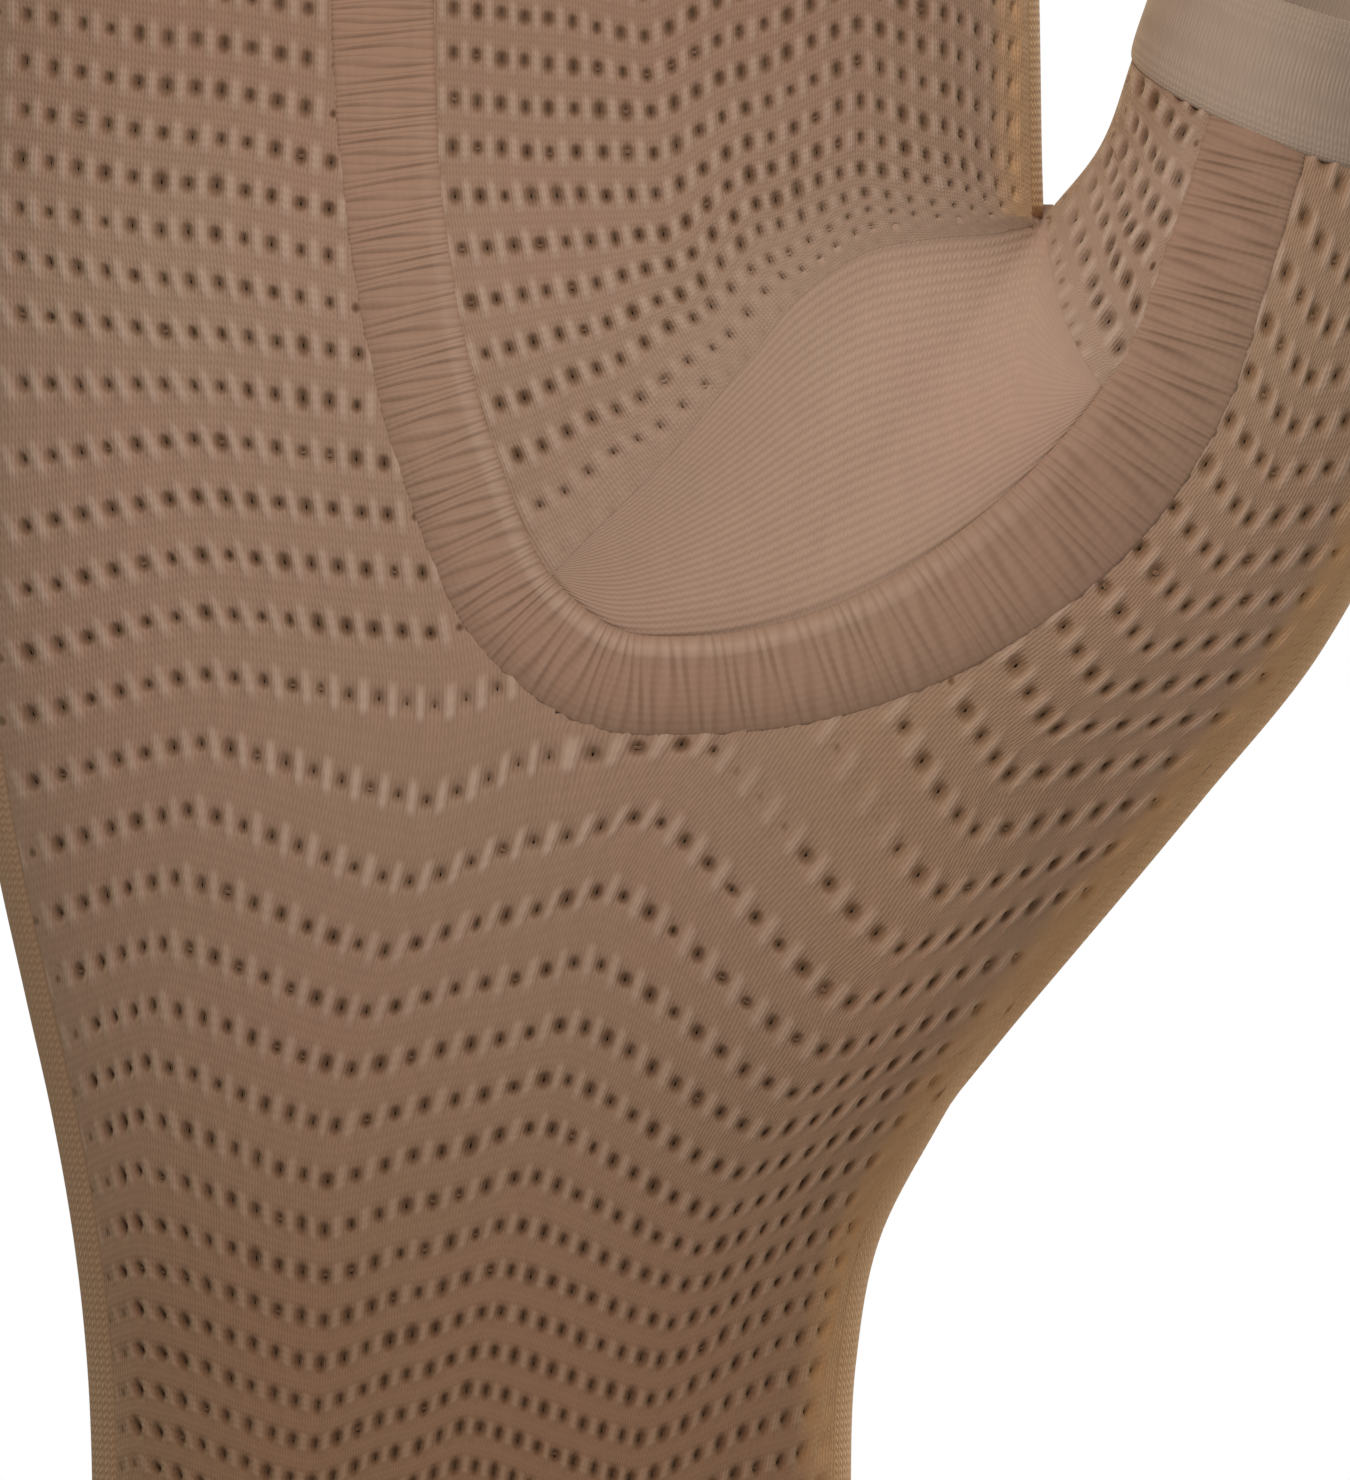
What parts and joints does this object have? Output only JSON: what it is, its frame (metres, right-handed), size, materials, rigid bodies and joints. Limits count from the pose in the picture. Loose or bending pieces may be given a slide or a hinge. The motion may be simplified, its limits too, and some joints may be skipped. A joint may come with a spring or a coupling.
{
  "type": "compression gauntlet",
  "caption": "Fingerless compression gauntlet for a left hand, with an open thumb sleeve, an eyelet knit, a raised ribbed band and a smooth gusset by the thumb.",
  "frame": {"origin": "middle of the wrist at its narrowest section, where the wearer's arm carries the glove", "axes": "+Z from the forearm to the fingers, +X towards the thumb, -Y the side of the back of the hand"},
  "size_m": [0.1082, 0.0477, 0.1848],
  "materials": {
    "eyelet_knit": "matte beige knit with small dark eyelets in wavy rows",
    "plain_knit": "matte beige fine plain knit",
    "rib_knit": "matte beige ribbed knit",
    "hem_knit": "smooth matte greyish beige doubled knit"
  },
  "bodies": {
    "root": {"main_mesh": "eyelet_knit", "inner_mesh": "eyelet_knit", "thumb_mesh": "eyelet_knit", "u_band": "rib_knit", "web_gusset": "plain_knit", "palm_panel": "plain_knit", "thumb_hem": "hem_knit", "finger_hem": "hem_knit", "forearm_hem": "hem_knit"}
  },
  "joints": []
}
